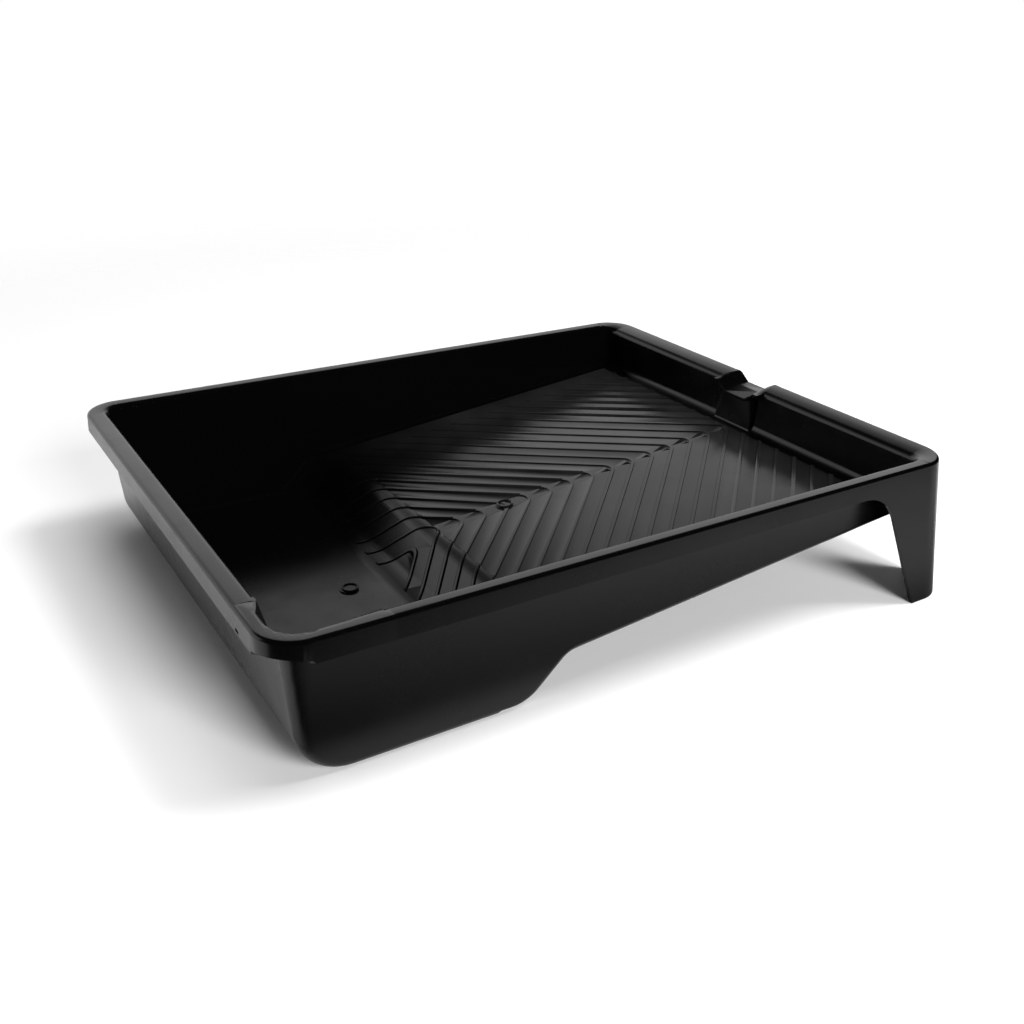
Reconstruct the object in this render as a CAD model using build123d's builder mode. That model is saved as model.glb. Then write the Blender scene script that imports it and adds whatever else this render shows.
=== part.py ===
"""Paint roller tray: one moulding with a deep well, a ribbed ramp and two corner legs.

X runs from the deep end to the high end, Y across, Z up. The origin is on the ground under
the middle of the tray. All sizes are in millimetres. The moulding is built once, whole, and
then divided into its named regions, so the regions meet face to face at any size.
"""
from build123d import *
from math import atan, cos, degrees, radians, sin, tan
import os

os.makedirs("parts", exist_ok=True)

# ---- driving sizes ---------------------------------------------------------------------------
tray_length = 400.0
tray_width = 316.0
tray_height = 80.0
wall = 2.2

deep_flange = 11.5          # rim width between the hollow and the outside, at the deep end
side_flange = 9.2
high_flange = 15.0
rim_corner_radius = 20.0
rim_edge_radius = 1.8
rim_lip_radius = 3.0        # on the inner edge of the rim
skirt_height = 10.5

body_draft = 5.0            # degrees that the walls of the hollow lean inward
hollow_corner_radius = 9.5
deep_foot_radius = 24.0     # at the foot of the deep end wall
side_foot_radius = 2.5      # along the foot of each side wall
high_foot_radius = 6.5      # at the top of the ramp

riser_start = -79.0
riser_angle = 47.0
riser_foot_radius = 20.0
riser_crest_radius = 13.0
riser_end_radius = 20.0     # in plan, where the riser bends towards the well beside each wall
riser_end_angle = 80.0
riser_end_inset = 23.5      # the bend begins this far from the side of the hollow
riser_end_turn = 8.0        # degrees that it turns at once where it begins
riser_end_sections = 5
ramp_slope = 0.105
ramp_height_at_centre = 31.0

side_splay = 8.0            # degrees that skirt and legs lean outward across the tray
end_splay = 1.5             # the same along the tray
leg_top_width = 52.5
leg_foot_width = 30.5
leg_arch_radius = 24.0

rib_pitch = 15.46
rib_width = 2.2
rib_height = 1.1
rib_count = 24
first_rib_apex = -54.6      # where the lowest chevron points, on the centre line
rib_bend_radius = 7.0
rib_foot_gap = 6.0          # plain riser below the lowest ribs
rib_side_gap = 24.0         # plain deck between a rib's end and the side of the hollow

rest_depth = 6.0            # the notch where a roller frame rests
rest_floor_width = 18.0
rest_top_width = 34.0
bulge_reach = 5.0           # the wall under the notch stands this much further in
bulge_width = 33.0
bulge_foot_radius = 3.0

pour_reach = 4.5            # the hollow's lip stands this much further out at the pour corner
pour_depth = 9.0
pour_end_length = 34.0
pour_side_length = 42.0
pour_step = 12.0
pour_corner_radius = 16.0
pour_skirt_lift = 3.0       # the skirt is this much shorter at the pour corner
pour_skirt_radius = 60.0
slot_width = 4.0
slot_height = 1.6
slot_gap = 1.0              # below the slot, to the edge of the skirt
slot_middle = -123.0

gate_radius = 5.0
gate_height = 0.8
gate_places = (-99.0, 3.0)

# ---- places worked out from them -------------------------------------------------------------
half_length = tray_length / 2
half_width = tray_width / 2
hollow_deep = -half_length + deep_flange
hollow_high = half_length - high_flange
hollow_side = half_width - side_flange
hollow_middle = (hollow_deep + hollow_high) / 2
skirt_bottom = tray_height - skirt_height
flange_bottom = tray_height - wall
lean = tan(radians(body_draft))
riser_rise = tan(radians(riser_angle))
ramp_angle = degrees(atan(ramp_slope))
side_reach = tray_height * tan(radians(side_splay))
end_reach = tray_height * tan(radians(end_splay))
above = 30.0                # how far the cutting solids stand over the rim
beyond = tray_length        # further out than any face of the tray
seam_margin = 0.02          # keeps two drafted solids from sharing one plane


def ramp_top(x):
    """Height of the ramp's face at x."""
    return ramp_height_at_centre + ramp_slope * x


riser_corner = riser_start + riser_foot_radius * tan(radians(riser_angle / 2))
crest_corner = (ramp_height_at_centre - wall + riser_corner * riser_rise) / (riser_rise - ramp_slope)
deep_corner = hollow_deep + (tray_height - wall) * lean
high_corner = hollow_high - (tray_height - ramp_top(hollow_high)) * lean
crest_end = crest_corner + riser_crest_radius * tan(radians(riser_angle / 2))
deck_seam = high_corner - high_foot_radius


def floor_outline(growth):
    """Side view of everything over well, riser and ramp, grown outward by growth."""
    top = tray_height + above
    with BuildSketch(Plane.XZ) as outline:
        with BuildLine():
            Polyline(
                (hollow_deep - above * lean, top),
                (deep_corner, wall),
                (riser_corner, wall),
                (crest_corner, ramp_top(crest_corner)),
                (high_corner, ramp_top(hollow_high)),
                (hollow_high + above * lean, top),
                close=True,
            )
        make_face()
        for x, radius in (
            (deep_corner, deep_foot_radius),
            (riser_corner, riser_foot_radius),
            (crest_corner, riser_crest_radius),
            (high_corner, high_foot_radius),
        ):
            fillet([v for v in outline.vertices() if abs(v.X - x) < seam_margin], radius)
        if growth:
            offset(amount=growth, kind=Kind.INTERSECTION)
    return outline.sketch


def floor_prism(growth):
    """The side view drawn out across the tray."""
    return extrude(floor_outline(growth), amount=tray_width, both=True)


def along(point, length, angle):
    """The point reached from another by going length in a direction given in degrees."""
    return (point[0] + length * cos(radians(angle)), point[1] + length * sin(radians(angle)))


def riser_section(y, shift, growth):
    """Everything under the riser at y, where it stands shift further along the tray."""
    floor_z = wall - growth
    down = growth * (1 + ramp_slope**2) ** 0.5
    foot_x = riser_corner + shift + growth * ((1 + riser_rise**2) ** 0.5 - 1) / riser_rise
    crest_x = (ramp_height_at_centre - down - floor_z + foot_x * riser_rise) / (riser_rise - ramp_slope)
    foot = (foot_x, floor_z)
    crest = (crest_x, floor_z + (crest_x - foot_x) * riser_rise)
    foot_tangent = (riser_foot_radius + growth) * tan(radians(riser_angle / 2))
    crest_tangent = (riser_crest_radius - growth) * tan(radians((riser_angle - ramp_angle) / 2))
    start = along(foot, -foot_tangent, 0)
    slope_low = along(foot, foot_tangent, riser_angle)
    slope_high = along(crest, -crest_tangent, riser_angle)
    with BuildSketch(Plane.XZ.offset(-y)) as section:
        with BuildLine():
            TangentArc(start, slope_low, tangent=(1, 0))
            Line(slope_low, slope_high)
            TangentArc(slope_high, along(crest, crest_tangent, ramp_angle), tangent=(1, riser_rise))
            Polyline(
                along(crest, crest_tangent, ramp_angle),
                (crest_end, ramp_top(crest_end) - down),
                (crest_end, -tray_height),
                (start[0], -tray_height),
                start,
            )
        make_face()
    return section.sketch


def riser_end(side, growth):
    """The plastic that rounds the riser into one side wall, less whatever growth takes away."""
    radius = riser_end_radius + growth
    first = riser_end_turn / 2
    sections = []
    for index in range(riser_end_sections + 1):
        turn = radians(first + (riser_end_angle - first) * index / riser_end_sections)
        out = radius * (sin(turn) - sin(radians(riser_end_turn)))
        shift = radius * (cos(turn) - cos(radians(riser_end_turn)))
        sections.append(riser_section(riser_end_inset - hollow_side - out, shift, growth))
    end = loft(sections)
    return mirror(end, about=Plane.XZ) if side > 0 else end


def plan_prism(growth):
    """The drafted, round-cornered plan of the hollow, grown outward by growth."""
    spread = 2 * (above * lean + growth / cos(radians(body_draft)))
    with BuildPart() as prism:
        with BuildSketch(Plane((0, 0, tray_height + above), x_dir=(1, 0, 0), z_dir=(0, 0, -1))) as plan:
            with Locations((hollow_middle, 0)):
                Rectangle(hollow_high - hollow_deep + spread + 2 * seam_margin, 2 * hollow_side + spread)
            fillet(plan.vertices(), hollow_corner_radius + spread / 2)
        extrude(amount=tray_height + above + wall, taper=body_draft)
    return prism.part


def hollow_solid(growth):
    """The tray's hollow with its foot radii, grown outward by growth, open far over the rim."""
    solid = floor_prism(growth) & plan_prism(growth)
    foot_edges = [
        edge
        for face in solid.faces().filter_by(lambda f: f.geom_type == GeomType.PLANE)
        if abs(face.normal_at().Y) > cos(radians(2 * body_draft))
        for edge in face.edges()
        if max((edge @ 0).Z, (edge @ 1).Z) < tray_height
    ]
    solid = solid.fillet(side_foot_radius + growth, foot_edges)
    return solid - riser_end(1, growth) - riser_end(-1, growth)


def apron_solid(inset):
    """The outside of rim, skirt and legs: upright at the rim and splayed towards the ground."""
    with BuildPart() as apron:
        for height, along, across in ((tray_height, 0, 0), (0, end_reach, side_reach)):
            with BuildSketch(Plane.XY.offset(height)):
                RectangleRounded(
                    tray_length + 2 * (along - inset),
                    tray_width + 2 * (across - inset),
                    rim_corner_radius - inset,
                )
        loft(ruled=True)
    return apron.part


def leg_zone():
    """The space that the two legs and the skirt over them fill."""
    top_line = skirt_bottom + wall
    end_foot = half_width + side_reach
    with BuildPart() as zone:
        with BuildSketch(Plane.XZ) as side_view:
            with BuildLine():
                Polyline(
                    (0, top_line),
                    (0, skirt_bottom),
                    (half_length - leg_top_width, skirt_bottom),
                    (half_length + end_reach - leg_foot_width, 0),
                    (beyond, 0),
                    (beyond, top_line),
                    close=True,
                )
            make_face()
            inner = [v for v in side_view.vertices() if abs(v.X - half_length + leg_top_width) < 1]
            fillet(inner, leg_arch_radius)
        extrude(amount=beyond, both=True)
        with BuildSketch(Plane.YZ) as end_view:
            for side in (1, -1):
                with BuildLine():
                    Polyline(
                        (0, top_line),
                        (0, skirt_bottom),
                        (side * (half_width - leg_top_width), skirt_bottom),
                        (side * (end_foot - leg_foot_width), 0),
                        (side * beyond, 0),
                        (side * beyond, top_line),
                        close=True,
                    )
                make_face()
            inner = [v for v in end_view.vertices() if abs(abs(v.Y) - half_width + leg_top_width) < 1]
            fillet(inner, leg_arch_radius)
        extrude(amount=beyond, both=True, mode=Mode.INTERSECT)
    return zone.part


def block(x_range, y_range, z_range):
    """A box between the given limits, used to divide the moulding."""
    sizes = [high - low for low, high in (x_range, y_range, z_range)]
    centre = [(low + high) / 2 for low, high in (x_range, y_range, z_range)]
    return Pos(*centre) * Box(*sizes, mode=Mode.PRIVATE)


def pour_funnel(growth):
    """The flared lip of the pour corner, grown outward by growth."""
    outer_x = hollow_deep - pour_reach
    outer_y = hollow_side + pour_reach
    with BuildPart() as funnel:
        with BuildSketch(Plane((0, 0, tray_height), x_dir=(1, 0, 0), z_dir=(0, 0, -1))) as plan:
            with BuildLine():
                Polyline(
                    (hollow_deep, hollow_side - pour_end_length),
                    (outer_x, hollow_side - pour_end_length + pour_step),
                    (outer_x, outer_y),
                    (hollow_deep + pour_side_length, hollow_side),
                    close=True,
                )
            make_face()
            corner = [v for v in plan.vertices() if abs(v.X - outer_x) + abs(abs(v.Y) - outer_y) < 1]
            fillet(corner, pour_corner_radius)
            if growth:
                offset(amount=growth)
        extrude(amount=pour_depth + growth, taper=degrees(atan(pour_reach / pour_depth)))
    return funnel.part


def rest_notch(growth):
    """The roller rest's trapezoid, as a bar along X that stays open over the rim."""
    floor_z = tray_height - rest_depth - growth
    slope = (rest_top_width - rest_floor_width) / 2 / rest_depth
    side = growth * (1 + slope**2) ** 0.5
    high = 2 * rest_depth
    with BuildPart() as notch:
        with BuildSketch(Plane.YZ) as section:
            with BuildLine():
                Polyline(
                    (-rest_floor_width / 2 - side + growth * slope, floor_z),
                    (rest_floor_width / 2 + side - growth * slope, floor_z),
                    (rest_floor_width / 2 + side + rest_depth * slope, tray_height),
                    (rest_floor_width / 2 + side + rest_depth * slope, tray_height + high),
                    (-rest_floor_width / 2 - side - rest_depth * slope, tray_height + high),
                    (-rest_floor_width / 2 - side - rest_depth * slope, tray_height),
                    close=True,
                )
            make_face()
        extrude(amount=beyond)
    return notch.part


def raised_layer(height):
    """A skin of even height lying on well, riser and ramp."""
    return floor_prism(0) - floor_prism(-height)


def chevron_ribs():
    """Round-pointed V ribs, as a layer over well, riser and ramp."""
    arm = hollow_side
    with BuildPart() as ribs:
        with BuildSketch(Plane.XY) as plan:
            for index in range(rib_count):
                apex = first_rib_apex + index * rib_pitch
                with BuildLine() as path:
                    FilletPolyline((apex - arm, arm), (apex, 0), (apex - arm, -arm), radius=rib_bend_radius)
                trace(path.line, rib_width)
        extrude(amount=tray_height)
    reach = hollow_side - rib_side_gap
    limits = block((riser_start + rib_foot_gap, deck_seam), (-reach, reach), (0, tray_height))
    return ribs.part & raised_layer(rib_height) & limits


# ---- the whole moulding ----------------------------------------------------------------------
def everywhere(z_range):
    """A slab over the whole tray between two heights."""
    return block((-beyond, beyond), (-beyond, beyond), z_range)


hollow = hollow_solid(0)
bulge_x = hollow_high - bulge_reach
bulge_top = tray_height - rest_depth
bulge_start = bulge_x - 2 * bulge_foot_radius
with BuildPart() as bulge:
    with BuildSketch(Plane.XZ) as bulge_section:
        with BuildLine():
            Polyline(
                (bulge_start, ramp_top(bulge_start)),
                (bulge_x, ramp_top(bulge_x)),
                (bulge_x + (bulge_top - ramp_top(bulge_x)) * lean, bulge_top),
                (half_length, bulge_top),
                (half_length, 0),
                (bulge_start, 0),
                close=True,
            )
        make_face()
        fillet([v for v in bulge_section.vertices() if abs(v.X - bulge_x) < seam_margin], bulge_foot_radius)
    extrude(amount=bulge_width / 2, both=True)
hollow -= bulge.part
body = hollow_solid(wall) & everywhere((0, tray_height))
body -= block(
    (bulge_x + wall, half_length),
    (wall - bulge_width / 2, bulge_width / 2 - wall),
    (0, bulge_top - wall),
)

apron = apron_solid(0)
rim_edges = [e for e in apron.edges() if min((e @ 0).Z, (e @ 1).Z) > skirt_bottom]
apron = apron.fillet(rim_edge_radius, rim_edges)
shell = (apron - apron_solid(wall)) & (leg_zone() + everywhere((skirt_bottom, tray_height)))
flange = apron & everywhere((flange_bottom, tray_height))
scoop_start = Plane((rim_corner_radius - half_length, rim_corner_radius - half_width, 0), z_dir=(-1, -1, 0))
with BuildPart() as scoop:
    with BuildSketch(scoop_start.offset(rim_corner_radius - 2 * wall)):
        Circle(pour_skirt_radius)
    extrude(amount=rim_corner_radius)
skirt_scoop = Pos(0, 0, skirt_bottom + pour_skirt_lift - pour_skirt_radius) * scoop.part
rest_space = (bulge_x - wall, beyond), (-half_width, half_width), (0, beyond)
rest_walls = (bulge_x, half_length - wall / 2), (-half_width, half_width), (0, tray_height)
moulding = flange + shell + body - hollow
lip_edges = [
    e
    for e in moulding.edges()
    if min((e @ 0).Z, (e @ 1).Z) > tray_height - seam_margin
    and abs((e @ 0.5).X) < half_length - deep_flange / 2
    and abs((e @ 0.5).Y) < half_width - side_flange / 2
]
moulding = moulding.fillet(rim_lip_radius, lip_edges)
moulding += rest_notch(wall) & block(*rest_walls)
moulding -= rest_notch(0) & block(*rest_space)
moulding = moulding + (pour_funnel(wall) - hollow) - pour_funnel(0)
moulding -= skirt_scoop
moulding -= block(
    (-beyond, hollow_deep - pour_reach - wall),
    (slot_middle - slot_width / 2, slot_middle + slot_width / 2),
    (skirt_bottom + slot_gap, skirt_bottom + slot_gap + slot_height),
)
for x in gate_places:
    gate = Pos(x, 0, 0) * Cylinder(gate_radius, tray_height, align=(Align.CENTER, Align.CENTER, Align.MIN))
    moulding += gate & raised_layer(gate_height)
moulding += chevron_ribs()

# ---- the named regions -----------------------------------------------------------------------
deep_gap = (hollow_deep - half_length) / 2          # half way between body and skirt, all round
high_gap = (hollow_high + half_length) / 2
side_gap = (hollow_side + half_width) / 2
corner_start = half_length - rim_corner_radius
pour_bottom = tray_height - pour_depth - wall
pour_side_end = hollow_deep + pour_side_length + wall
pour_end_end = pour_end_length - hollow_side - wall
well_seam = deep_corner + deep_foot_radius
wall_seam = hollow_side - (tray_height - wall) * lean - side_foot_radius

with BuildPart() as inside_zone:
    with BuildSketch(Plane.XY.offset(-wall)):
        with Locations(((deep_gap + high_gap) / 2, 0)):
            RectangleRounded(high_gap - deep_gap, 2 * side_gap, (rim_corner_radius + hollow_corner_radius) / 2)
    extrude(amount=flange_bottom + wall)
inside = inside_zone.part
pour_zone = block((-beyond, pour_side_end), (-beyond, pour_end_end), (pour_bottom, beyond))
legs = (moulding - inside) & everywhere((-wall, skirt_bottom))
rims = (moulding - inside - pour_zone) & everywhere((skirt_bottom, beyond))
basin = (moulding & inside) - pour_zone
middle = (-wall_seam, wall_seam)
any_height = (-wall, beyond)


def on_side(solid, side, x_range, nearest=0.0):
    """The part of a solid on one side of the middle line, at least nearest away from it."""
    return solid & block(x_range, sorted((side * nearest, side * beyond)), any_height)


with BuildPart() as well_floor:
    add(basin & block((well_seam, riser_start), middle, any_height))
with BuildPart() as deep_end_wall:
    add(basin & block((-beyond, well_seam), middle, any_height))
with BuildPart() as step_riser:
    add(basin & block((riser_start, crest_end), middle, any_height))
with BuildPart() as ramp_deck:
    add(basin & block((crest_end, deck_seam), middle, any_height))
with BuildPart() as high_end_wall:
    add(basin & block((deck_seam, beyond), middle, any_height))
with BuildPart() as left_side_wall:
    add(on_side(basin, 1, (-beyond, beyond), wall_seam))
with BuildPart() as right_side_wall:
    add(on_side(basin, -1, (-beyond, beyond), wall_seam))
with BuildPart() as deep_end_rim:
    add(rims & block((-beyond, -corner_start), (-beyond, beyond), any_height))
with BuildPart() as pour_corner:
    add(moulding & pour_zone)
with BuildPart() as left_rim:
    add(on_side(rims, 1, (-corner_start, corner_start)))
with BuildPart() as right_rim:
    add(on_side(rims, -1, (-corner_start, corner_start)))
with BuildPart() as high_end_rim:
    add(rims & block((corner_start, beyond), (-beyond, beyond), any_height))
with BuildPart() as left_leg:
    add(on_side(legs, 1, (0, beyond)))
with BuildPart() as right_leg:
    add(on_side(legs, -1, (0, beyond)))

regions = {
    "well_floor": well_floor,
    "deep_end_wall": deep_end_wall,
    "step_riser": step_riser,
    "ramp_deck": ramp_deck,
    "high_end_wall": high_end_wall,
    "left_side_wall": left_side_wall,
    "right_side_wall": right_side_wall,
    "deep_end_rim": deep_end_rim,
    "pour_corner": pour_corner,
    "left_rim": left_rim,
    "right_rim": right_rim,
    "high_end_rim": high_end_rim,
    "left_leg": left_leg,
    "right_leg": right_leg,
}
# The legs reach further out than the deep end's skirt, so the origin moves to the true middle.
to_middle = Pos((skirt_height / tray_height - 1) * end_reach / 2, 0, 0)
for name, region in regions.items():
    piece = to_middle * region.part
    piece.label = name
    export_step(piece, f"parts/{name}.step")
    print(name, len(piece.solids()), "solid,", round(piece.volume / 1000, 1), "cm3")
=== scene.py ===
# %% [markdown]
# # A paint roller tray
# The tray is one black polypropylene moulding: a deep well for the paint, a ribbed ramp to roll
# on, a rim all round, and two legs that hold the high end level. Its parts come as fixed solids,
# so the first step loads them. Everything is in metres, with the origin on the ground under the
# middle of the tray.

# %% Load the fixed solids
from math import asin, cos, degrees, pi, radians, sin

import bmesh
import bpy
from mathutils import Matrix, Vector


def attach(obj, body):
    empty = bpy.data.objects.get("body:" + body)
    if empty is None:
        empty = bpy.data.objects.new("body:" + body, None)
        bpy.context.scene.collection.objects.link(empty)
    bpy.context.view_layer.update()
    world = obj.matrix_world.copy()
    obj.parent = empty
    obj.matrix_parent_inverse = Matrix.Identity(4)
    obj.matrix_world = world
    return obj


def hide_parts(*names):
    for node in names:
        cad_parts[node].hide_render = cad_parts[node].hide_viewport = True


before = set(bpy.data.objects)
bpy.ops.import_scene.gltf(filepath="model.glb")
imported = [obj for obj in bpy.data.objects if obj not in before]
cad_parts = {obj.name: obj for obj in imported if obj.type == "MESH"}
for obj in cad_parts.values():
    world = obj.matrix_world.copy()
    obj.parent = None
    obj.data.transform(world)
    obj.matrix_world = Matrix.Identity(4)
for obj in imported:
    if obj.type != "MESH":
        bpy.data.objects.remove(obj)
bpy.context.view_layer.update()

# %% [markdown]
# ## Where the camera stands
# A tray is best shown from above one of its near corners, low enough to see its side wall and
# the legs, high enough to see the ramp. A camera could be aimed with a constraint. Here it is
# three directions and a place, because they follow from three plain angles: the direction back
# from the tray to the lens, the one to its right, and the one up.

# %% The camera
camera_azimuth = radians(-31.928)
camera_elevation = radians(25.471)
camera_roll = radians(1.036)
camera_place = Vector((-0.31373, -0.51656, 0.31540))
lens_length = 39.26
film_width = 36

back = Vector((
    sin(camera_azimuth) * cos(camera_elevation),
    -cos(camera_azimuth) * cos(camera_elevation),
    sin(camera_elevation),
))
across = Vector((cos(camera_azimuth), sin(camera_azimuth), 0))
upward = back.cross(across)
rolled_across = across * cos(camera_roll) + upward * sin(camera_roll)
rolled_upward = upward * cos(camera_roll) - across * sin(camera_roll)

camera_data = bpy.data.cameras.new("camera")
camera_data.lens = lens_length
camera_data.sensor_width = film_width
camera = bpy.data.objects.new("camera", camera_data)
camera.matrix_world = Matrix.Translation(camera_place) @ Matrix(
    (rolled_across, rolled_upward, back)
).transposed().to_4x4()
bpy.context.scene.collection.objects.link(camera)
bpy.context.scene.camera = camera

# %% [markdown]
# ## Node trees in a few words
# Every finish here is a small tree of nodes. Such a tree could be wired by hand, one line for
# each socket. A few helpers keep the cells short instead: they add a node and fill its inputs,
# slide between two values, calculate, mix two colours, and start a material.

# %% Helpers for node trees
def feed(tree, socket, value):
    """Gives an input a plain value, or links it to another node's output."""
    if isinstance(value, bpy.types.NodeSocket):
        tree.links.new(value, socket)
    else:
        socket.default_value = value


def add_node(tree, kind, **inputs):
    """Adds a node and feeds its inputs by their names."""
    node = tree.nodes.new("ShaderNode" + kind)
    for name, value in inputs.items():
        feed(tree, node.inputs[name.replace("_", " ")], value)
    return node


def slide(tree, value, start, end, first, last, soft=True):
    """First up to the start, last from the end on, and a slide from one to the other between."""
    node = add_node(
        tree, "MapRange", Value=value, From_Min=start, From_Max=end, To_Min=first, To_Max=last
    )
    if soft:
        node.interpolation_type = "SMOOTHSTEP"
    return node.outputs["Result"]


def calculate(tree, kind, operation, *values):
    """The number that a Math or a VectorMath node works out."""
    node = tree.nodes.new("ShaderNode" + kind)
    node.operation = operation
    for socket, value in zip(node.inputs, values):
        feed(tree, socket, value)
    return node.outputs["Value"]


def mixed_colour(tree, factor, first, second):
    """The first colour where the factor is 0, the second where it is 1."""
    node = tree.nodes.new("ShaderNodeMix")
    node.data_type = "RGBA"
    first_colour, second_colour, mixed = node.inputs[6], node.inputs[7], node.outputs[2]
    feed(tree, node.inputs["Factor"], factor)
    feed(tree, first_colour, first)
    feed(tree, second_colour, second)
    return mixed


def new_material(name):
    """A material, its tree, its Principled shader, and the place on the piece."""
    material = bpy.data.materials.new(name)
    material.use_nodes = True
    tree = material.node_tree
    place = add_node(tree, "TexCoord").outputs["Object"]
    print("material:", name)
    return material, tree, tree.nodes["Principled BSDF"], place


# %% [markdown]
# ## Black polypropylene
# The moulding is solid black and a little glossy. A steel mould leaves two marks on it: a faint
# orange peel, finer than a grain of sand, and clouds where the gloss is duller. Stacking and
# handling add hair scuffs. All three could come from pictures wrapped round the tray. Noise at
# three scales needs no unwrapping, and holds still on the piece because it reads the piece's
# own coordinates. The peel goes into the bump, the clouds and scuffs into the roughness.

# %% The moulded finish
plastic_black = (0.0011, 0.0011, 0.0012, 1)
plastic_ior = 1.49
cloud_range = (0.32, 0.68)
scuff_range = (0.5, 0.8)
scuff_roughness = 0.02


def moulded_plastic(name, roughness_low, roughness_high):
    """Black plastic whose gloss wanders between two roughnesses."""
    material, tree, shader, place = new_material(name)
    clouds = add_node(tree, "TexNoise", Vector=place, Scale=24.0, Detail=5.0, Roughness=0.6)
    dull = slide(
        tree, clouds.outputs["Fac"], *cloud_range, roughness_low, roughness_high, soft=False
    )
    hair = add_node(tree, "Mapping", Vector=place, Rotation=(0.3, 0.2, 0.9), Scale=(14, 260, 90))
    hairs = add_node(tree, "TexNoise", Vector=hair.outputs["Vector"], Scale=1.0, Detail=1.0)
    scuffs = slide(tree, hairs.outputs["Fac"], *scuff_range, 0.0, scuff_roughness, soft=False)
    feed(tree, shader.inputs["Roughness"], calculate(tree, "Math", "ADD", dull, scuffs))
    peel = add_node(tree, "TexNoise", Vector=place, Scale=320.0, Detail=2.0)
    bump = add_node(tree, "Bump", Strength=0.1, Distance=0.00002, Height=peel.outputs["Fac"])
    feed(tree, shader.inputs["Normal"], bump.outputs["Normal"])
    shader.inputs["Base Color"].default_value = plastic_black
    shader.inputs["IOR"].default_value = plastic_ior
    return material


wall_finish = moulded_plastic("black_polypropylene", roughness_low=0.20, roughness_high=0.29)

# %% [markdown]
# ### The painted sheen on the ramp
# The ramp is rubbed by every roller, so it is a little smoother than the walls. A grey sheen is
# also painted into its colour. It stands in for the light that the ramp reflects: thin on the
# step, and growing up the ramp in soft clouds. It could be a third finish with an edge. As a mix
# of two colours, with a share that grows with the distance up the tray, it has no edge anywhere.

# %% The finish of the ramp
# A lighter grey painted into the ramp's colour: a painted sheen for the light that the ramp
# reflects.
painted_sheen_grey = (0.0260, 0.0260, 0.0265, 1)
sheen_start, sheen_end = -0.06, 0.06
sheen_most = 0.75

deck_finish = moulded_plastic(
    "black_polypropylene_deck", roughness_low=0.16, roughness_high=0.24
)
tree = deck_finish.node_tree
shader = tree.nodes["Principled BSDF"]
place = add_node(tree, "TexCoord").outputs["Object"]
up_the_tray = calculate(tree, "VectorMath", "DOT_PRODUCT", place, (1, 0, 0))
growth = slide(tree, up_the_tray, sheen_start, sheen_end, 0.0, sheen_most)
clouds = add_node(tree, "TexNoise", Vector=place, Scale=30.0, Detail=4.0)
# The painted sheen: more of the lighter grey further up the ramp, in clouds.
painted_sheen = calculate(tree, "Math", "MULTIPLY", growth, clouds.outputs["Fac"])
feed(tree, shader.inputs["Base Color"], mixed_colour(tree, painted_sheen, plastic_black, painted_sheen_grey))
print("bloom in full", sheen_end * 1000, "mm past the middle")

# %% [markdown]
# ### One finish for each solid
# The real tray is one shot of plastic, so its parts differ in their wear only; the ramp and the
# step also carry the painted sheen. Each finish could wait until its part is dressed. It goes on
# every solid now, because some need nothing more: the floor of the well and the two legs are
# shown as they are.

# %% Finish the solids
# The ramp and the step take the smoother finish with the painted sheen.
worn_and_sheen_parts = ("ramp_deck", "step_riser")
for name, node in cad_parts.items():
    node.data.materials.clear()
    node.data.materials.append(deck_finish if name in worn_and_sheen_parts else wall_finish)
print("finished:", len(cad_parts))

# %% [markdown]
# ## Dressing a fixed solid
# Some parts need a softer shape than their solid has. They could be modelled afresh, but then
# they might not fit their neighbours. So such a part starts as a copy of the solid, which
# arrives as loose triangles: merging the doubles makes it one closed skin, ready for bevels.
# The new piece then stands in for the solid. Smooth shading, weighted by the areas of the faces,
# makes its round edges look round.

# %% Helpers for the dressed parts
same_point = 2e-6
sharp_angle = 32


def copied_skin(node_name):
    """A solid's skin as one closed bmesh."""
    skin = bmesh.new()
    skin.from_mesh(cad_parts[node_name].data)
    bmesh.ops.remove_doubles(skin, verts=skin.verts, dist=same_point)
    bmesh.ops.recalc_face_normals(skin, faces=skin.faces)
    return skin


def moulded_piece(name, skin, finish, *stands_for):
    """Makes a piece of the tray from a skin and smooths its round edges."""
    data = bpy.data.meshes.new(name)
    skin.to_mesh(data)
    skin.free()
    data.materials.append(finish)
    data.polygons.foreach_set("use_smooth", [True] * len(data.polygons))
    data.set_sharp_from_angle(angle=radians(sharp_angle))
    piece = bpy.data.objects.new(name, data)
    bpy.context.scene.collection.objects.link(piece)
    even = piece.modifiers.new("even_shading", "WEIGHTED_NORMAL")
    even.keep_sharp = True
    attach(piece, "root")
    if stands_for:
        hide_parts(*stands_for)
    print(name, "faces:", len(data.polygons))
    return piece


print("edges above", sharp_angle, "degrees stay sharp")

# %% [markdown]
# ## The ribs
# The ribs squeeze the paint out of a roller, and the roller must not snag on them, so their tops
# are round. On the solids they have square tops. A Bevel modifier would round them, but the
# seams between the parts as well. So the edges are picked first: an edge belongs to a rib when
# an upward face meets an upright one there, away from the seams. The tops then come down a
# little, and a bevel rounds them. Nothing rubs the sides of the ribs, so they are duller.

# %% Find the edges of the ribs
seam_margin = 0.0004
rib_zone_half_width = 0.1252
upright_tilt = 0.25
upward_tilt = 0.5


def rib_edges_of(skin):
    """The top edges of the ribs, told by how far up the faces beside an edge look."""
    first = min(v.co.x for v in skin.verts) + seam_margin
    last = max(v.co.x for v in skin.verts) - seam_margin
    rib_edges = []
    for edge in skin.edges:
        if len(edge.link_faces) != 2 or not edge.is_convex:
            continue
        side, top = sorted(face.normal.z for face in edge.link_faces)
        inside = all(
            first < v.co.x < last and abs(v.co.y) < rib_zone_half_width for v in edge.verts
        )
        if inside and abs(side) < upright_tilt and top > upward_tilt:
            rib_edges.append(edge)
    print("rib edges:", len(rib_edges))
    return rib_edges


# %% [markdown]
# The bevel gives back the faces that it made. They get the duller finish of the ribs' sides,
# which is the second material of the piece.

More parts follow.
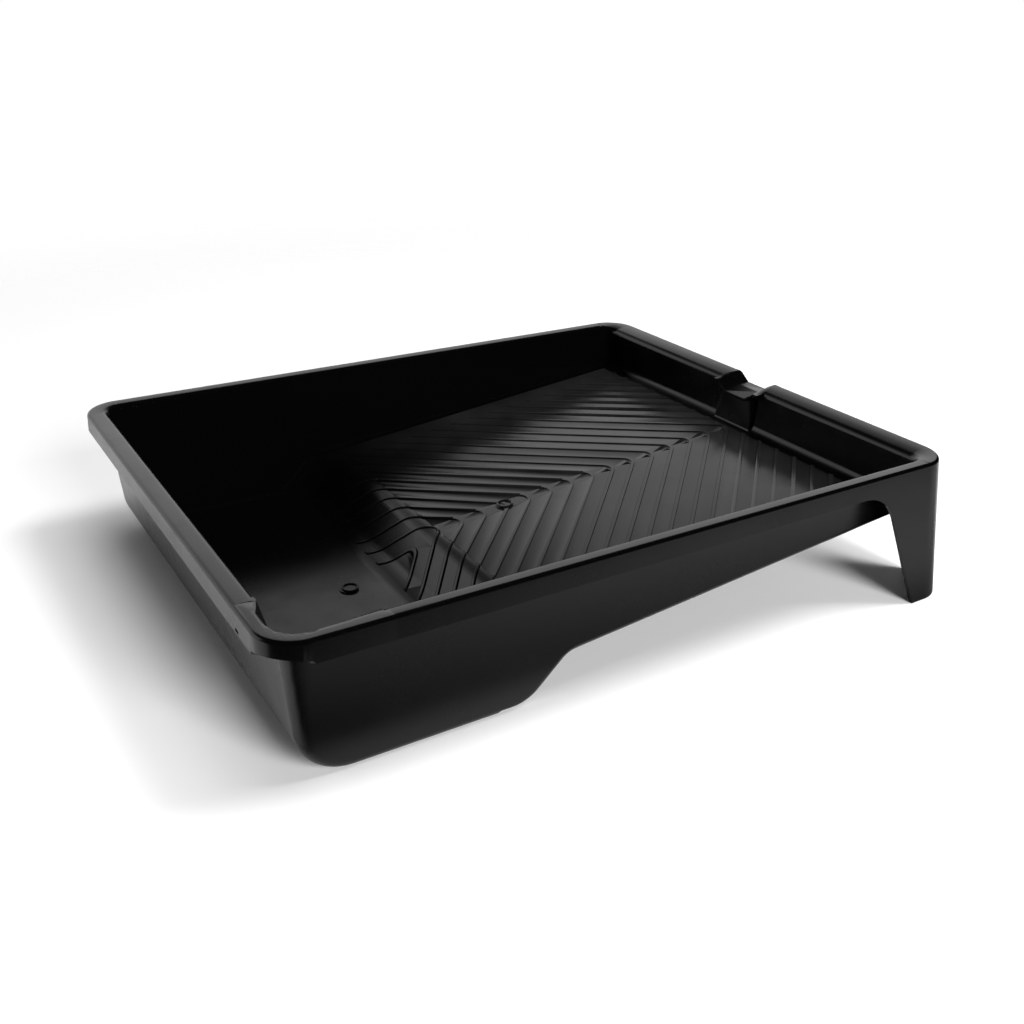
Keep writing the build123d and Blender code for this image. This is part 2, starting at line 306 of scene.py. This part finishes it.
# %% Round the ribs
rib_side_finish = moulded_plastic(
    "black_polypropylene_rib_side", roughness_low=0.55, roughness_high=0.70
)
rib_side_slot = 1
rib_round = 0.0005
rib_wear = 0.00045


def rounded_ribs(node_name, piece_name):
    """A part with ribs: their tops come down by the wear and get round."""
    skin = copied_skin(node_name)
    rib_edges = rib_edges_of(skin)
    beside = {face for edge in rib_edges for face in edge.link_faces}
    tops = {v for face in beside if face.normal.z > upward_tilt for v in face.verts}
    bmesh.ops.translate(skin, verts=list(tops), vec=(0, 0, -rib_wear))
    for edge in rib_edges:
        min(edge.link_faces, key=lambda face: face.normal.z).material_index = rib_side_slot
    rounds = bmesh.ops.bevel(
        skin, geom=rib_edges, offset=rib_round, offset_type="OFFSET", affect="EDGES",
        segments=3, profile=0.5, material=-1, clamp_overlap=True,
    )
    for face in rounds["faces"]:
        face.material_index = rib_side_slot
    piece = moulded_piece(piece_name, skin, deck_finish, node_name)
    piece.data.materials.append(rib_side_finish)


rounded_ribs("ramp_deck", "ribbed_ramp")
rounded_ribs("step_riser", "ribbed_step")

# %% [markdown]
# ## The crowned rim
# The rim isn't flat: from its outer edge it falls away towards the hollow in a shallow round,
# which makes it stiff and lets paint run back. A profile swept round the tray would give it, but
# not the notch and the wide corner. All the parts that meet in the rim follow one rule instead,
# so they still fit each other: the further in a point is, the lower it comes, in full at the
# top and not at all lower down the wall.

# %% The rule of the crown
rim_length, rim_width = 0.400, 0.316
rim_corner = 0.020
crown_start = 0.002
crown_reach = 0.016     # further in than this, the rim sinks no lower
crown_radius = 0.037
crown_full_height = 0.077
crown_no_height = 0.060


def from_outline(x, y):
    """How far inside the rim's outer edge a point is, seen from above."""
    over_x = abs(x) - (rim_length / 2 - rim_corner)
    over_y = abs(y) - (rim_width / 2 - rim_corner)
    round_part = Vector((max(over_x, 0), max(over_y, 0))).length
    return rim_corner - round_part - min(max(over_x, over_y), 0)


def crown_drop(place):
    """How far a point of the tray comes down."""
    inward = min(max(from_outline(place.x, place.y) - crown_start, 0), crown_reach)
    share = (place.z - crown_no_height) / (crown_full_height - crown_no_height)
    return inward ** 2 / (2 * crown_radius) * min(max(share, 0), 1)


print("crown drops", round(crown_reach ** 2 / (2 * crown_radius) * 1000, 1), "mm at most")

# %% [markdown]
# The top of the rim has few points of its own, and a round needs rows of them. Planes that cut
# it along the tray's four sides give these rows.

# %% Crown the rim
crown_cuts = (0.002, 0.0045, 0.007, 0.0095, 0.012, 0.0145, 0.017)
rim_top_height = 0.0765
on_the_plane = 1e-6
along, sideways = Vector((1, 0, 0)), Vector((0, 1, 0))


def crowned(node_name):
    """A part of the rim or a wall, cut in rows at its top and then crowned."""
    skin = copied_skin(node_name)
    for cut in crown_cuts:
        for axis, half in ((along, rim_length / 2), (sideways, rim_width / 2)):
            for side in (-1, 1):
                upper = [f for f in skin.faces if min(v.co.z for v in f.verts) > rim_top_height]
                edges = {edge for face in upper for edge in face.edges}
                verts = {vert for face in upper for vert in face.verts}
                bmesh.ops.bisect_plane(
                    skin, geom=[*upper, *edges, *verts], dist=on_the_plane,
                    plane_co=axis * side * (half - cut), plane_no=axis,
                )
    for vert in skin.verts:
        vert.co.z -= crown_drop(vert.co)
    bmesh.ops.triangulate(skin, faces=skin.faces)
    moulded_piece("crowned_" + node_name, skin, wall_finish, node_name)


for node_name in (
    "deep_end_rim", "left_rim", "right_rim", "high_end_rim", "pour_corner",
    "deep_end_wall", "left_side_wall", "right_side_wall", "high_end_wall",
):
    crowned(node_name)

# %% [markdown]
# ## The gate marks
# The plastic enters the mould through two gates under the well and the ramp. Each leaves a low
# round boss with a raised ring. The ring could be turned from a thick disc. A small circle
# carried round an axis, a spin, is shorter and has no faces to spare.

# %% The gate rings
ring_radius = 0.0043
ring_thickness = 0.0007
gate_height = 0.0008
well_floor_height = 0.0022
ramp_height, ramp_slope = 0.031, 0.105
well_gate_x, ramp_gate_x = -0.099, 0.003


def gate_ring(name, x, height, slope, finish):
    """A ring on the middle line of the tray, as steep as the face under it."""
    ring = bmesh.new()
    middle = (0, 0, 0)
    section = bmesh.ops.create_circle(ring, segments=10, radius=ring_thickness)["verts"]
    upright = Matrix.Rotation(pi / 2, 3, "X")
    bmesh.ops.rotate(ring, verts=section, cent=middle, matrix=upright)
    bmesh.ops.translate(ring, verts=section, vec=(ring_radius, 0, 0))
    bmesh.ops.spin(
        ring, geom=ring.verts[:] + ring.edges[:], cent=middle, axis=(0, 0, 1),
        angle=2 * pi, steps=48, use_merge=True,
    )
    bmesh.ops.remove_doubles(ring, verts=ring.verts, dist=same_point)
    tilted = Matrix.Rotation(-slope, 3, "Y")
    bmesh.ops.rotate(ring, verts=ring.verts, cent=middle, matrix=tilted)
    bmesh.ops.translate(ring, verts=ring.verts, vec=(x, 0, height + gate_height))
    bmesh.ops.recalc_face_normals(ring, faces=ring.faces)
    moulded_piece(name, ring, finish)


gate_ring("well_gate_ring", well_gate_x, well_floor_height, 0, wall_finish)
ramp_gate_z = ramp_height + ramp_slope * ramp_gate_x
gate_ring("ramp_gate_ring", ramp_gate_x, ramp_gate_z, ramp_slope, deck_finish)

# %% [markdown]
# ## The studio
# Black plastic has hardly any colour of its own: what one sees in it is the room. So the room is
# built with care: a white floor, a white backdrop behind the tray, a dark room everywhere else,
# and a sheet of black velvet on the floor in front of the tray.

# %% [markdown]
# ### The floor
# The floor could be a large sheet with a far edge to hide. It is a disc that fades out into the
# white of the backdrop instead, so it has no edge. It is a little less than white for the light
# that it throws back, and plain white as it is seen.

# %% The white floor
floor_reach = 1.1
floor_fade_start = 0.34
floor_tone, floor_tone_seen = (0.8, 0.8, 0.8, 1), (1, 1, 1, 1)


def stage_piece(name, sheet, finish):
    """A piece of the studio: the floor or a cloth, which is no part of the tray."""
    data = bpy.data.meshes.new(name)
    sheet.to_mesh(data)
    sheet.free()
    data.materials.append(finish)
    piece = bpy.data.objects.new(name, data)
    bpy.context.scene.collection.objects.link(piece)
    print(name, "size in m:", [round(s, 2) for s in piece.dimensions])
    return piece


floor_finish, tree, shader, place = new_material("white_floor")
seen = add_node(tree, "LightPath").outputs["Is Camera Ray"]
feed(tree, shader.inputs["Base Color"], mixed_colour(tree, seen, floor_tone, floor_tone_seen))
shader.inputs["Roughness"].default_value = 1.0
shader.inputs["Specular IOR Level"].default_value = 0.0
from_tray = calculate(tree, "VectorMath", "LENGTH", place)
fade = slide(tree, from_tray, floor_fade_start, floor_reach, 1.0, 0.0)
feed(tree, shader.inputs["Alpha"], fade)

sheet = bmesh.new()
bmesh.ops.create_circle(sheet, cap_ends=True, radius=floor_reach, segments=96)
stage_piece("floor", sheet, floor_finish)

# %% [markdown]
# ### The black velvet
# In a studio, black velvet lies in front of a glossy black thing, so that its front keeps a dark
# edge where it would mirror a white floor. A darker floor would do the same, but would be seen.
# The velvet works in the mirror image only: the camera looks through it, and it throws no
# shadow. It is thickest away from the tray and thins out towards it, so its edge is a soft
# shade. A strip of it along the near side is closer, and ends under the rim. This strip is a
# painted shadow: it darkens the near wall where the wall mirrors the floor at the tray's foot.

# %% The black velvet
velvet_black = (0.01, 0.01, 0.01, 1)
velvet_size = 3.0
velvet_back_edge = 0.3
velvet_height = 0.0005
soft_edge_faces = (0.6, 0.8, 0.0)
soft_edge, soft_cover = (-0.45, -0.12), (0.5, 0.0)
strip, strip_cover = (-0.23, -0.165), (0.5, 0.8)
strip_edge = (-0.165, -0.145)

velvet_finish, tree, shader, place = new_material("black_velvet")
askew = calculate(tree, "VectorMath", "DOT_PRODUCT", place, soft_edge_faces)
thinning = slide(tree, askew, *soft_edge, *soft_cover)
sideward = calculate(tree, "VectorMath", "DOT_PRODUCT", place, (0, 1, 0))
# The strip along the near side: a painted shadow in the near wall's mirror image of the floor.
shade_strip_share = slide(tree, sideward, *strip, *strip_cover)
beside_rim = slide(tree, sideward, *strip_edge, 1.0, 0.0, soft=False)
cover = calculate(tree, "Math", "MULTIPLY_ADD", shade_strip_share, beside_rim, thinning)
feed(tree, shader.inputs["Alpha"], cover)
shader.inputs["Base Color"].default_value = velvet_black
shader.inputs["Specular IOR Level"].default_value = 0.0

sheet = bmesh.new()
bmesh.ops.create_grid(sheet, x_segments=1, y_segments=1, size=velvet_size / 2)
velvet_middle = (0, velvet_back_edge - velvet_size / 2, velvet_height)
bmesh.ops.translate(sheet, verts=sheet.verts, vec=velvet_middle)
velvet = stage_piece("velvet", sheet, velvet_finish)
velvet.visible_camera = False
velvet.visible_diffuse = False
velvet.visible_shadow = False
velvet.visible_transmission = False

# %% [markdown]
# ### The backdrop
# The backdrop could be a white sheet with a lamp of its own. Here it is part of the world, which
# has no edge: white behind the tray up to a certain height, then fading to the dark of the room
# above, and dark again on the side where one stands. To the eye the world is plain white all
# round: a ray from the camera counts as 1, and the larger of that and the backdrop is taken.

# %% The backdrop
backdrop_height = (0.46, 0.68)
backdrop_faces = (-0.1, 0.99, 0.0)
backdrop_side = (0.28, 0.46)

world = bpy.data.worlds.new("studio")
world.use_nodes = True
bpy.context.scene.world = world
tree = world.node_tree
direction = add_node(tree, "TexCoord").outputs["Generated"]
upwards = calculate(tree, "VectorMath", "DOT_PRODUCT", direction, (0, 0, 1))
band = slide(tree, upwards, *backdrop_height, 1.0, 0.0)
backwards = calculate(tree, "VectorMath", "DOT_PRODUCT", direction, backdrop_faces)
side = slide(tree, backwards, *backdrop_side, 0.0, 1.0)
backdrop = calculate(tree, "Math", "MULTIPLY", band, side)
seen = add_node(tree, "LightPath").outputs["Is Camera Ray"]
shader = tree.nodes["Background"]
feed(tree, shader.inputs["Strength"], calculate(tree, "Math", "MAXIMUM", backdrop, seen))
shader.inputs["Color"].default_value = (1, 1, 1, 1)
print("backdrop fades at", [round(degrees(asin(h))) for h in backdrop_height], "degrees up")

# %% [markdown]
# ### The lamps
# Two softboxes on the right throw the shadow to the left, and a large one overhead rounds it
# off. A bright world alone would light the tray too, but leave it without a shadow. A lamp of P
# watts lights the floor under the tray by P * slant / (pi * distance ** 2), and white paper
# comes out white at pi. The shares add up so that the floor, a little less than white, still
# comes out white. The lamps are kept out of the mirror image, as flags on the stands would do.
# Colours are shown as they are.

# %% The lamps
def soft_lamp(name, place, size, share):
    """A square softbox that faces the tray and lights the floor by its share of white."""
    place = Vector(place)
    slant = place.normalized().z
    data = bpy.data.lights.new(name, "AREA")
    data.size = size
    data.energy = share * pi ** 2 * place.length_squared / slant
    lamp = bpy.data.objects.new(name, data)
    lamp.location = place
    lamp.rotation_mode = "QUATERNION"
    lamp.rotation_quaternion = place.to_track_quat("Z", "Y")
    lamp.visible_glossy = False
    bpy.context.scene.collection.objects.link(lamp)
    print(name, round(data.energy), "W")


soft_lamp("key_softbox", (1.1, -0.5, 2.0), 0.8, 0.50)
soft_lamp("front_softbox", (0.1, -2.0, 0.9), 0.9, 0.46)
soft_lamp("top_softbox", (0.2, 0.2, 2.4), 1.6, 0.38)
bpy.context.scene.view_settings.view_transform = "Standard"
